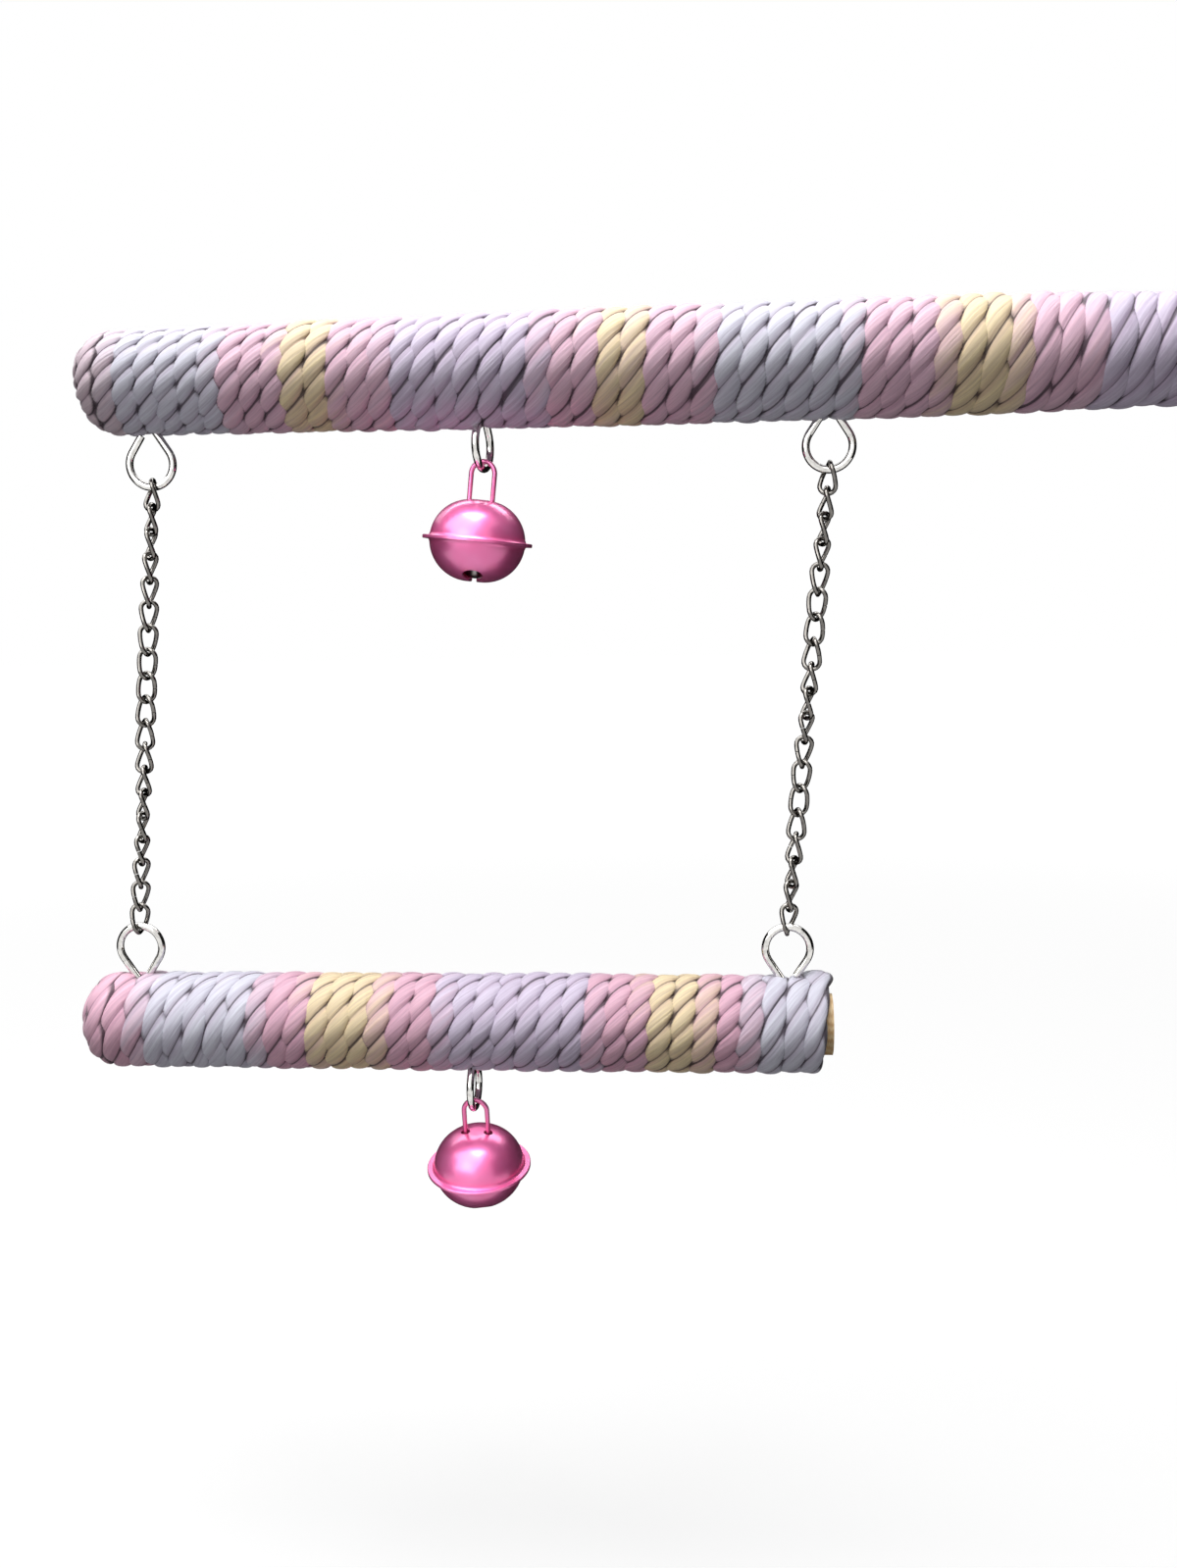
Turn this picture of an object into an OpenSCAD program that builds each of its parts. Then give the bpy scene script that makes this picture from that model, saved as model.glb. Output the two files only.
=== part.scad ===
// Bird swing: a long rope-wrapped rod that clamps to the wires of a cage, with a shorter
// rope-wrapped perch hung below it on two curb chains, and a jingle bell under each rod.
// Millimetres, +Z up. The origin is the clamp face on the rod's axis: the cage wires lie
// against that face, and the rod runs away from it along -X.

/* [Upper rod] */
// Length of the wooden upper rod
upper_len = 300; // [260:5:360]
// Diameter of the wooden upper rod
upper_d = 18; // [14:0.5:24]
// Distance from the rod's free end to its first chain eye
upper_end_inset = 12.2; // [8:0.1:25]

/* [Perch] */
// Distance from the perch's right chain eye to its cut end
perch_cut_end_inset = 11.5; // [8:0.1:40]
// Diameter of the wooden perch
perch_d = 16; // [12:0.5:20]
// Distance from the perch's left end to its first chain eye
perch_end_inset = 10.7; // [8:0.1:20]
// Length of bare wood that shows past the rope at the perch's cut end
perch_bare_end = 0.8; // [0.4:0.1:3]

/* [Rope] */
// Thickness of the paper rope
rope_d = 4.9; // [3.5:0.1:6]
// Least gap between neighbouring turns
rope_gap = 0.8; // [0.6:0.05:1.5]
// Radius with which the winding turns in over a closed rod end
cap_turn_r = 7.5; // [6.5:0.1:9]

/* [Eye screws] */
// Distance between the two chain eyes
eye_spacing = 174.3; // [160:0.1:180]
// Thickness of the eye screw's wire
eye_wire_d = 2; // [1.6:0.1:2.4]
// Radius of the eye, to the middle of its wire
eye_r = 5.8; // [5:0.1:7]
// Half of the angle at which the eye's two sides run to its shank
eye_side_turn = 33; // [26:1:45]
// Radius of the bend between the eye and its shank
eye_bend_r = 2.5; // [2:0.1:4]
// Distance from the upper rod's axis to the middle of its chain eyes
upper_eye_drop = 20.8; // [18:0.1:26]
// Distance from the perch's axis to the middle of its chain eyes
perch_eye_rise = 20.2; // [18:0.1:26]
// Distance from the upper rod's axis to the middle of the bell's eye
upper_bell_eye_drop = 18.4; // [17:0.1:26]
// Distance from the perch's axis to the middle of the bell's eye
lower_bell_eye_drop = 17.9; // [17:0.1:26]
// Turn of the upper bell's eye from the plane of the chains
upper_bell_eye_turn = 80; // [60:1:90]
// Turn of the lower bell's eye from the plane of the chains
lower_bell_eye_turn = 88; // [60:1:90]
// How far the lower bell's eye sits to the right of the middle of the two chain eyes
lower_bell_shift = 3.4; // [-10:0.1:10]
// Depth of the shank's point past the rod's axis
shank_past_axis = 3; // [0:0.5:5]
// Length of the shank's cone point
shank_point_len = 3; // [2:0.5:5]

/* [Chains] */
// Number of links in each chain
chain_links = 19; // [12:1:24]
// Length that each link adds to the chain
link_pitch = 6.28; // [5.8:0.02:6.6]
// Thickness of the link's wire
link_wire_d = 1.2; // [0.9:0.05:1.3]
// Width over a link
link_w = 5.4; // [5:0.1:6.4]
// Free play between two links
link_slack = 0.3; // [0.3:0.05:0.6]
// Twist of one link from end to end
link_twist = 90; // [70:5:100]
// Turn from one link to the next in the left chain
left_link_turn = -15; // [-15:30:15]
// Turn from one link to the next in the right chain
right_link_turn = -25; // [-25:10:25]
// Sideways lean of the chains from plumb, as the swing was photographed
chain_lean = 5.1; // [0:0.1:10]
// Gap between a link, or a bell's loop, and the eye that it hangs in
hang_gap = 0.25; // [0.2:0.05:0.4]

/* [Bells] */
// Diameter of a bell's body
bell_d = 24.6; // [18:0.2:30]
// Height of each half of a bell
bell_half_h = 10.4; // [8:0.1:12]
// Wall of a bell's shells
bell_wall = 0.6; // [0.4:0.1:1]
// Diameter over a bell's flange
bell_flange_d = 28.2; // [20:0.2:34]
// Thickness of each half of the flange
bell_flange_t = 0.45; // [0.3:0.05:0.8]
// Width of the slot in a bell's lower half
bell_slot_w = 1.8; // [1:0.1:3]
// Diameter of the round holes at the ends of the slot
bell_hole_d = 5.2; // [4:0.1:6]
// Angle of those holes from the bell's lowest point
bell_hole_tilt = 38; // [30:1:50]
// Turn of the slot from the front
bell_slot_turn = 15; // [0:5:90]
// Thickness of the loop wire on a bell
loop_wire_d = 1.3; // [1:0.1:1.6]
// Distance between the loop's legs, from middle to middle
loop_w = 6.3; // [6:0.1:8]
// Distance from the eye's wire down to the bell's dome
loop_drop = 7.8; // [6:0.1:12]
// Diameter of the steel pellet in a bell
pellet_d = 7; // [6:0.1:8]
// Tilt of the upper bell, right side down
upper_bell_tilt = 6.5; // [0:0.5:12]
// Nod of the lower bell, front side down
lower_bell_nod = 11; // [0:0.5:15]

/* [Cage clamp] */
// Diameter of the stud that goes between the cage wires
stud_d = 6; // [5:0.5:8]
// Length of the stud outside the clamp face
stud_len = 32; // [28:1:40]
// Length of the screw inside the rod
stud_in_wood = 25; // [15:1:40]
// Diameter of the clamp washers
washer_d = 30; // [24:1:36]
// Thickness of the clamp washers
washer_t = 1.6; // [1:0.1:2.5]
// Width of the opening for the cage wires, with the wing nut backed off
clamp_gap = 5; // [4.5:0.1:7]
// Height of the wing nut's hub
nut_hub_h = 8; // [6:0.5:9]
// Diameter of the wing nut's hub at the washer
nut_hub_d = 13; // [11:0.5:15]
// Distance over the wing nut's wings
nut_span = 30; // [26:1:36]
// Length of a wing along the stud
nut_wing_len = 13; // [11:0.5:16]
// Thickness of a wing
nut_wing_t = 2.4; // [2:0.1:3]

/* [Hidden] */
$fn = 64;

// One overrun serves every cut, and one fit clearance every screw in its hole
overrun = 1;
fit_gap = 0.05;
rope_clear = 0.2;
foot_clear = 0.25;
// The rope is cut for the eyes as a mesh, at its own size
as_it_is = [0, 0, 0];

// The winding: rings on one turn of the tube, and sides of the tube
turn_rings = 8;
tube_sides = 6;
// Whole turns lie between the eyes, so that each eye stands in a groove between two turns
eye_half_turns = floor(eye_spacing / 2 / (rope_d + rope_gap));
rope_pitch = eye_spacing / 2 / eye_half_turns;
// The winding's last turn on a closed end keeps this share of the rope clear of the middle
cap_middle_share = 0.75;

// The tube is straight between two rings, so its rings stand off the wood by the sagitta
function winding_r(wood_d) = (wood_d / 2 + fit_gap) / cos(180 / turn_rings) + rope_d / 2;
upper_wind_r = winding_r(upper_d);
perch_wind_r = winding_r(perch_d);

// Rounding of a closed rod end, under the rope that turns in over it
function end_round_r(wood_d) = min(cap_turn_r - rope_d / 2 - rope_clear, wood_d / 2 - overrun);

// Share of its side that the wire's free end covers before it stops short of the shank
eye_free_share = 0.6;
// The cone point's flat, and the balls at the bends, as shares of the wire
screw_tip_share = 0.25;
seam_ball_share = 1.03;

// Places along the rods
perch_len = perch_end_inset + eye_spacing + perch_cut_end_inset;
upper_right_x = -washer_t;
upper_left_x = upper_right_x - upper_len;
left_eye_x = upper_left_x + upper_end_inset;
right_eye_x = left_eye_x + eye_spacing;
upper_bell_x = (left_eye_x + right_eye_x) / 2;

// The chains
link_inner_len = link_pitch + link_slack;
link_len = link_inner_len + 2 * link_wire_d;
hang_seat = eye_wire_d / 2 + hang_gap;
chain_span = (chain_links - 1) * link_pitch + link_inner_len - 2 * hang_seat;
// The first link stands across its eye, so its middle is turned by half its own twist
first_link_turn = 90 + link_twist / 2;
link_bow_rings = 6;
link_side_rings = 2;

// Where the chains hang, and the perch below them
top_pivot_z = -upper_eye_drop - eye_r;
bottom_pivot_z = top_pivot_z - chain_span * cos(chain_lean);
swing_shift = -chain_span * sin(chain_lean);
perch_eye_z = bottom_pivot_z - eye_r;
perch_z = perch_eye_z - perch_eye_rise;
perch_left_eye_x = left_eye_x + swing_shift;
perch_right_eye_x = right_eye_x + swing_shift;
perch_left_x = perch_left_eye_x - perch_end_inset;
perch_right_x = perch_left_x + perch_len;
lower_bell_x = (perch_left_eye_x + perch_right_eye_x) / 2 + lower_bell_shift;
upper_rope_x = upper_right_x - rope_d / 2 - rope_clear;
perch_rope_x = perch_right_x - perch_bare_end - rope_d / 2;

// The bells' shared shape, measured from the point of the eye's wire that they hang on
loop_top_z = hang_seat + loop_wire_d / 2;
loop_bend_r = loop_w / 2;
bell_crown_z = -loop_drop;
bell_mid_z = bell_crown_z - bell_half_h;
bell_flat_r = bell_d / 2 - bell_half_h;
foot_len = loop_wire_d;
pellet_path_r = bell_half_h - bell_wall - pellet_d / 2 - hang_gap;

// The clamp
outer_washer_x = clamp_gap;
nut_x = outer_washer_x + washer_t;
nut_hub_top_share = 0.75;
// A wing's foot height as a share of the hub, its tip's size as a share of the wing, and the
// angle at which its two edges meet the round tip
wing_foot_share = 0.3;
wing_tip_share = 0.5;
wing_edge_turn = 50;
washer_hole_gap = 0.25;
chamfer_share = 0.15;

// Small tools

// A round bar between two points, with ball ends
module bar(p, q, d) {
    v = q - p;
    len = norm(v);
    translate(p)
        rotate([0, acos(v[2] / len), atan2(v[1], v[0])])
            cylinder(h = len, d = d);
    translate(p) sphere(d = d);
    translate(q) sphere(d = d);
}

// Triangles of a tube from rows of ring points. A closed tube joins its last ring to its first.
function tube_faces(rings, sides, closed) = concat(
    [for (i = [0 : rings - (closed ? 1 : 2)], j = [0 : sides - 1])
        let (a = i * sides + j, b = i * sides + (j + 1) % sides,
             c = ((i + 1) % rings) * sides + (j + 1) % sides, d = ((i + 1) % rings) * sides + j)
        [a, b, c]],
    [for (i = [0 : rings - (closed ? 1 : 2)], j = [0 : sides - 1])
        let (a = i * sides + j,
             c = ((i + 1) % rings) * sides + (j + 1) % sides, d = ((i + 1) % rings) * sides + j)
        [a, c, d]],
    closed ? [] : [for (j = [1 : sides - 2]) [0, j + 1, j]],
    closed ? [] : [for (j = [1 : sides - 2])
        let (last = (rings - 1) * sides) [last, last + j, last + j + 1]]);

function unit(v) = v / norm(v);

// The winding's path. It is measured by s, the distance run along the outline of the rod:
// straight along the rod, round the closed end, then in towards the middle of the end.
function outline_place(s, x_right, x_turn, wind_r) =
    let (run = x_right - x_turn, arc = cap_turn_r * PI / 2)
    s < run ? [x_right - s, wind_r, 0]
    : s < run + arc ?
        let (a = (s - run) / arc * 90)
        [x_turn - cap_turn_r * sin(a), wind_r - cap_turn_r * (1 - cos(a)), a]
    : [x_turn - cap_turn_r, wind_r - cap_turn_r - (s - run - arc), 90];

// One ring of the tube: its middle lies on the outline, its six corners round it
function wind_ring(s, x_right, x_turn, wind_r, round_turn) =
    let (p = outline_place(s, x_right, x_turn, wind_r),
         out = [-sin(p[2]), cos(p[2])], along = [-cos(p[2]), -sin(p[2])],
         side_r = rope_d / 2, flat_r = side_r / cos(180 / tube_sides))
    [for (j = [0 : tube_sides - 1])
        let (a = j * 360 / tube_sides,
             x = p[0] + side_r * cos(a) * along[0] + flat_r * sin(a) * out[0],
             r = p[1] + side_r * cos(a) * along[1] + flat_r * sin(a) * out[1])
        [x, -r * cos(round_turn), r * sin(round_turn)]];

function wind_middle(s, x_right, x_turn, wind_r, start) =
    let (p = outline_place(s, x_right, x_turn, wind_r),
         a = start - 360 * s / rope_pitch)
    [p[0], -p[1] * cos(a), p[1] * sin(a)];

// The angle at the start of a winding with a groove under the eye at x_eye, which stands on
// the side of the rod at side_turn
function wind_start(x_right, x_eye, side_turn) =
    side_turn + 180 + 360 * (x_right - x_eye) / rope_pitch;

// The rope's wound length along the outline of a rod whose one end is closed
function wind_len(x_right, x_turn, wind_r) =
    x_right - x_turn + cap_turn_r * PI / 2 + wind_r - cap_turn_r - rope_d * cap_middle_share;

// Least gap between one turn and the next, measured on ring middles
function least_gap(points) = min([for (i = [0 : len(points) - 1],
    k = [turn_rings - 2 : turn_rings + 2]) i + k < len(points)
        ? norm(points[i + k] - points[i]) - rope_d : rope_d]);

// A rod's rope: one unbroken tube from the rod's right end, over its closed left end
module winding(x_left_wood, x_right, wind_r, start, name) {
    x_turn = x_left_wood - rope_d / 2 - rope_clear + cap_turn_r;
    total = wind_len(x_right, x_turn, wind_r);
    count = floor(total / rope_pitch * turn_rings);
    middles = [for (i = [0 : count])
        wind_middle(i * rope_pitch / turn_rings, x_right, x_turn, wind_r, start)];
    echo(str(name, " turns ", count / turn_rings, ", least gap ", least_gap(middles)));
    step = middles[0] - middles[1];
    lead = unit([0, step[1], step[2]]) * rope_d;
    first = wind_ring(0, x_right, x_turn, wind_r, start);
    rings = concat([[for (q = first) q + lead]],
        [for (i = [0 : count])
            let (s = i * rope_pitch / turn_rings)
            wind_ring(s, x_right, x_turn, wind_r, start - 360 * s / rope_pitch)]);
    points = [for (ring = rings) for (q = ring) q];
    polyhedron(points = points, faces = tube_faces(len(rings), tube_sides, false), convexity = 10);
}

// A wooden rod along X with a rounded left end
module dowel(x_left, len, wood_d) {
    r = wood_d / 2;
    round_r = end_round_r(wood_d);
    translate([x_left, 0, 0])
        rotate([0, 90, 0])
            rotate_extrude() {
                translate([0, round_r]) square([r, len - round_r]);
                square([r - round_r, len - round_r]);
                intersection() {
                    translate([r - round_r, round_r]) circle(r = round_r);
                    square([r, len]);
                }
            }
}

// The wire of an eye screw, as if it hung from a rod above it. The origin is the middle of the
// eye, which lies in the XZ plane. The shank stands above the eye and ends in a cone point.
// A positive spare makes the wire thicker, to cut room for it.
module eye_wire(drop, spare) {
    d = eye_wire_d + 2 * spare;
    apex_z = eye_r / sin(eye_side_turn);
    side_x = eye_r * cos(eye_side_turn);
    side_z = eye_r * sin(eye_side_turn);
    bend_run = eye_bend_r * tan(eye_side_turn / 2);
    leg_len = eye_r / tan(eye_side_turn) - bend_run;
    shank_z = apex_z + bend_run;
    shank_len = drop + shank_past_axis + spare - shank_z - shank_point_len;
    rotate([90, 0, 0]) {
        rotate([0, 0, 180 - eye_side_turn])
            rotate_extrude(angle = 180 + 2 * eye_side_turn)
                translate([eye_r, 0]) circle(d = d);
        translate([eye_bend_r, shank_z])
            rotate([0, 0, 180])
                rotate_extrude(angle = eye_side_turn)
                    translate([eye_bend_r, 0]) circle(d = d);
    }
    translate([side_x, 0, side_z]) rotate([0, -eye_side_turn, 0]) cylinder(h = leg_len, d = d);
    translate([-side_x, 0, side_z])
        rotate([0, eye_side_turn, 0]) cylinder(h = leg_len * eye_free_share, d = d);
    translate([0, 0, shank_z]) cylinder(h = shank_len, d = d);
    translate([0, 0, shank_z + shank_len]) cylinder(h = shank_point_len, d1 = d, d2 = d * screw_tip_share);
    // Balls a little thicker than the wire close the seams between its bends and its straights
    bend_end = [side_x - leg_len * sin(eye_side_turn), 0, side_z + leg_len * cos(eye_side_turn)];
    for (p = [[side_x, 0, side_z], [-side_x, 0, side_z], bend_end, [0, 0, shank_z]])
        translate(p) sphere(d = d * seam_ball_share);
}

module upper_eyes(spare) {
    for (x = [left_eye_x, right_eye_x])
        translate([x, 0, -upper_eye_drop]) eye_wire(upper_eye_drop, spare);
    upper_bell_eye(spare);
}
module upper_bell_eye(spare) {
    translate([upper_bell_x, 0, -upper_bell_eye_drop])
        rotate([0, 0, upper_bell_eye_turn]) eye_wire(upper_bell_eye_drop, spare);
}
module perch_chain_eye(x, spare) {
    translate([x, 0, perch_eye_z]) rotate([0, 180, 0]) eye_wire(perch_eye_rise, spare);
}
module lower_bell_eye(spare) {
    translate([lower_bell_x, 0, perch_z - lower_bell_eye_drop])
        rotate([0, 0, lower_bell_eye_turn]) eye_wire(lower_bell_eye_drop, spare);
}
module perch_eyes(spare) {
    perch_chain_eye(perch_left_eye_x, spare);
    perch_chain_eye(perch_right_eye_x, spare);
    lower_bell_eye(spare);
}

// The room that the rope's turns leave for an eye screw: as wide as its shank at the wood, then
// opening outwards with its two sides. The origin is the middle of the eye.
module eye_room(drop, wood_d, wind_r) {
    apex_z = eye_r / sin(eye_side_turn);
    wood_z = drop - wood_d / 2;
    face_z = drop - wind_r - rope_d;
    levels = apex_z < wood_z ? [wood_z, apex_z, face_z] : [wood_z, face_z];
    half = [for (z = levels) (eye_wire_d / 2 + rope_clear) / cos(eye_side_turn)
        + max(0, apex_z - z) * tan(eye_side_turn)];
    last = len(levels) - 1;
    rotate([90, 0, 0])
        linear_extrude(eye_wire_d + 2 * rope_clear, center = true)
            polygon(concat([for (i = [0 : last]) [half[i], levels[i]]],
                [for (i = [last : -1 : 0]) [-half[i], levels[i]]]));
}

// A curb link: an oval of wire that is twisted about the chain's line from end to end
link_mid_r = (link_w - link_wire_d) / 2;
link_side_len = link_len - link_wire_d - 2 * link_mid_r;
function oval_steps() = concat(
    [for (i = [0 : link_bow_rings - 1]) let (a = i * 180 / link_bow_rings)
        [link_mid_r * cos(a), link_side_len / 2 + link_mid_r * sin(a), cos(a), sin(a)]],
    [for (i = [0 : link_side_rings - 1])
        [-link_mid_r, link_side_len / 2 - link_side_len * i / link_side_rings, -1, 0]],
    [for (i = [0 : link_bow_rings - 1]) let (a = 180 + i * 180 / link_bow_rings)
        [link_mid_r * cos(a), -link_side_len / 2 + link_mid_r * sin(a), cos(a), sin(a)]],
    [for (i = [0 : link_side_rings - 1])
        [link_mid_r, -link_side_len / 2 + link_side_len * i / link_side_rings, 1, 0]]);
function twisted(x, z) =
    let (a = -link_twist * z / (link_len - link_wire_d)) [x * cos(a), x * sin(a), z];
function link_points() =
    let (steps = oval_steps(), n = len(steps), middles = [for (s = steps) twisted(s[0], s[1])])
    [for (i = [0 : n - 1])
        let (a = -link_twist * steps[i][1] / (link_len - link_wire_d),
             t = unit(middles[(i + 1) % n] - middles[(i + n - 1) % n]),
             raw = [steps[i][2] * cos(a), steps[i][2] * sin(a), steps[i][3]],
             out = unit(raw - t * (raw * t)), side = cross(t, out))
        for (j = [0 : tube_sides - 1])
            let (b = j * 360 / tube_sides)
            middles[i] + link_wire_d / 2 * (cos(b) * out + sin(b) * side)];

module curb_link() {
    rings = 2 * (link_bow_rings + link_side_rings);
    polyhedron(points = link_points(), faces = tube_faces(rings, tube_sides, true), convexity = 6);
}

// Links number from and to of a chain whose first link hangs in the eye at x
module chain_part(x, from, to, link_turn) {
    translate([x, 0, top_pivot_z])
        rotate([0, chain_lean, 0])
            for (k = [from : to])
                translate([0, 0, hang_seat - link_inner_len / 2 - (k - 1) * link_pitch])
                    rotate([0, 0, first_link_turn + (k - 1) * link_turn])
                        curb_link();
}

// Half of a bell's outline, grown inwards by inset: a round shoulder with a flat crown
module bell_outline(inset) {
    intersection() {
        union() {
            translate([bell_flat_r, 0]) circle(r = bell_half_h - inset);
            square([bell_flat_r, bell_half_h - inset]);
        }
        square([bell_flange_d, bell_half_h]);
    }
}
module half_shell() {
    rotate_extrude() {
        difference() {
            bell_outline(0);
            bell_outline(bell_wall);
        }
        translate([bell_d / 2 - bell_wall, 0])
            square([(bell_flange_d - bell_d) / 2 + bell_wall, bell_flange_t]);
    }
}
// The bell hangs from the wire point at the origin. Its loop lies in the XZ plane.
module bell_loop_shape(spare) {
    d = loop_wire_d + 2 * spare;
    leg_top = loop_top_z - loop_bend_r;
    leg_low = bell_crown_z - bell_wall - loop_wire_d / 2;
    translate([0, 0, leg_top])
        rotate([90, 0, 0])
            rotate_extrude(angle = 180)
                translate([loop_bend_r, 0]) circle(d = d);
    for (side = [-1, 1])
        translate([side * loop_bend_r, 0, leg_low]) cylinder(h = leg_top - leg_low, d = d);
}
module bell_loop() {
    leg_low = bell_crown_z - bell_wall - loop_wire_d / 2 - foot_clear;
    bell_loop_shape(0);
    for (side = [-1, 1])
        bar([side * loop_bend_r, 0, leg_low], [side * (loop_bend_r - foot_len), 0, leg_low], loop_wire_d);
}
module bell_top() {
    difference() {
        translate([0, 0, bell_mid_z]) half_shell();
        bell_loop_shape(fit_gap);
    }
}
module bell_bottom() {
    difference() {
        translate([0, 0, bell_mid_z]) rotate([180, 0, 0]) half_shell();
        translate([0, 0, bell_mid_z])
            rotate([0, 0, bell_slot_turn]) {
                reach = bell_half_h + overrun;
                for (side = [-1, 1])
                    rotate([side * bell_hole_tilt, 0, 0])
                        translate([0, 0, -reach - bell_flat_r])
                            cylinder(h = reach, d = bell_hole_d);
                slot_len = 2 * bell_half_h * sin(bell_hole_tilt) + bell_flat_r;
                translate([-bell_slot_w / 2, -slot_len / 2, -reach])
                    cube([bell_slot_w, slot_len, reach / 2]);
            }
    }
}
module bell_pellet() {
    translate([0, 0, bell_mid_z - pellet_path_r]) sphere(d = pellet_d);
}
module at_upper_bell() {
    translate([upper_bell_x, 0, -upper_bell_eye_drop - eye_r])
        rotate([0, upper_bell_tilt, 0])
            rotate([0, 0, upper_bell_eye_turn - 90]) children();
}
module at_lower_bell() {
    translate([lower_bell_x, 0, perch_z - lower_bell_eye_drop - eye_r])
        rotate([lower_bell_nod, 0, 0])
            rotate([0, 0, lower_bell_eye_turn - 90]) children();
}

// A washer along X from the clamp side
module washer(x) {
    translate([x, 0, 0])
        rotate([0, 90, 0])
            difference() {
                cylinder(h = washer_t, d = washer_d);
                translate([0, 0, -overrun])
                    cylinder(h = washer_t + 2 * overrun, d = stud_d + 2 * washer_hole_gap);
            }
}

// The pieces

module upper_dowel() {
    color("burlywood")
        difference() {
            dowel(upper_left_x, upper_len, upper_d);
            upper_eyes(fit_gap);
            translate([upper_right_x - stud_in_wood - fit_gap, 0, 0])
                rotate([0, 90, 0]) cylinder(h = stud_in_wood + fit_gap + overrun, d = stud_d);
        }
}
module upper_rope_wrap() {
    color("thistle")
        resize(as_it_is) difference() {
            winding(upper_left_x, upper_rope_x, upper_wind_r,
                wind_start(upper_rope_x, left_eye_x, -90), "upper wrap");
            for (x = [left_eye_x, right_eye_x])
                translate([x, 0, -upper_eye_drop]) eye_room(upper_eye_drop, upper_d, upper_wind_r);
            translate([upper_bell_x, 0, -upper_bell_eye_drop])
                rotate([0, 0, upper_bell_eye_turn]) eye_room(upper_bell_eye_drop, upper_d, upper_wind_r);
        }
}
module hanger_bolt() {
    point = stud_d * chamfer_share;
    color("silver") {
        translate([upper_right_x - stud_in_wood, 0, 0])
            rotate([0, 90, 0]) cylinder(h = stud_in_wood + washer_t + stud_len - point, d = stud_d);
        translate([stud_len - point, 0, 0])
            rotate([0, 90, 0]) cylinder(h = point, d1 = stud_d, d2 = stud_d - 2 * point);
    }
}
module inner_washer() {
    color("silver") washer(-washer_t);
}
module outer_washer() {
    color("silver") washer(outer_washer_x);
}
module wing_nut() {
    top_d = nut_hub_d * nut_hub_top_share;
    color("silver")
        translate([nut_x, 0, 0])
            rotate([0, 90, 0])
                difference() {
                    union() {
                        cylinder(h = nut_hub_h, d1 = nut_hub_d, d2 = top_d);
                        for (side = [0, 180])
                            rotate([0, 0, side]) rotate([90, 0, 0])
                                translate([0, 0, -nut_wing_t / 2])
                                    linear_extrude(nut_wing_t)
                                        wing_outline(top_d);
                    }
                    translate([0, 0, -overrun])
                        cylinder(h = nut_wing_len + 2 * overrun, d = stud_d + 2 * fit_gap);
                }
}
// One wing, seen from its side: it rises from the hub and swells to a round tip
module wing_outline(top_d) {
    tip_r = nut_wing_len * wing_tip_share / 2;
    tip_x = nut_span / 2 - tip_r;
    tip_z = nut_wing_len - tip_r;
    edge = tip_r * [cos(wing_edge_turn), -sin(wing_edge_turn)];
    translate([tip_x, tip_z]) circle(r = tip_r);
    polygon([[top_d / 2 - overrun, nut_hub_h * wing_foot_share], [tip_x, tip_z] + edge,
        [tip_x, tip_z] - edge, [top_d / 2 - overrun, nut_hub_h]]);
}

module left_upper_eye_screw() {
    color("gainsboro") translate([left_eye_x, 0, -upper_eye_drop]) eye_wire(upper_eye_drop, 0);
}
module right_upper_eye_screw() {
    color("gainsboro") translate([right_eye_x, 0, -upper_eye_drop]) eye_wire(upper_eye_drop, 0);
}
module upper_bell_eye_screw() {
    color("gainsboro") upper_bell_eye(0);
}
module left_chain_top_link() {
    color("gray") chain_part(left_eye_x, 1, 1, left_link_turn);
}
module left_chain_links() {
    color("gray") chain_part(left_eye_x, 2, chain_links - 1, left_link_turn);
}
module left_chain_bottom_link() {
    color("gray") chain_part(left_eye_x, chain_links, chain_links, left_link_turn);
}
module right_chain_top_link() {
    color("gray") chain_part(right_eye_x, 1, 1, right_link_turn);
}
module right_chain_links() {
    color("gray") chain_part(right_eye_x, 2, chain_links - 1, right_link_turn);
}
module right_chain_bottom_link() {
    color("gray") chain_part(right_eye_x, chain_links, chain_links, right_link_turn);
}
module perch_dowel() {
    color("burlywood")
        difference() {
            translate([0, 0, perch_z]) dowel(perch_left_x, perch_len, perch_d);
            perch_eyes(fit_gap);
        }
}
module perch_rope_wrap() {
    color("thistle")
        resize(as_it_is) difference() {
            translate([0, 0, perch_z])
                winding(perch_left_x, perch_rope_x, perch_wind_r,
                    wind_start(perch_rope_x, perch_left_eye_x, 90), "perch wrap");
            for (x = [perch_left_eye_x, perch_right_eye_x])
                translate([x, 0, perch_eye_z])
                    rotate([0, 180, 0]) eye_room(perch_eye_rise, perch_d, perch_wind_r);
            translate([lower_bell_x, 0, perch_z - lower_bell_eye_drop])
                rotate([0, 0, lower_bell_eye_turn]) eye_room(lower_bell_eye_drop, perch_d, perch_wind_r);
        }
}
module left_perch_eye_screw() {
    color("gainsboro") perch_chain_eye(perch_left_eye_x, 0);
}
module right_perch_eye_screw() {
    color("gainsboro") perch_chain_eye(perch_right_eye_x, 0);
}
module lower_bell_eye_screw() {
    color("gainsboro") lower_bell_eye(0);
}
module upper_bell_loop() {
    color("hotpink") at_upper_bell() bell_loop();
}
module upper_bell_top_shell() {
    color("pink") at_upper_bell() bell_top();
}
module upper_bell_bottom_shell() {
    color("palevioletred") at_upper_bell() bell_bottom();
}
module upper_bell_pellet() {
    color("dimgray") at_upper_bell() bell_pellet();
}
module lower_bell_loop() {
    color("hotpink") at_lower_bell() bell_loop();
}
module lower_bell_top_shell() {
    color("pink") at_lower_bell() bell_top();
}
module lower_bell_bottom_shell() {
    color("palevioletred") at_lower_bell() bell_bottom();
}
module lower_bell_pellet() {
    color("dimgray") at_lower_bell() bell_pellet();
}

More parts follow.
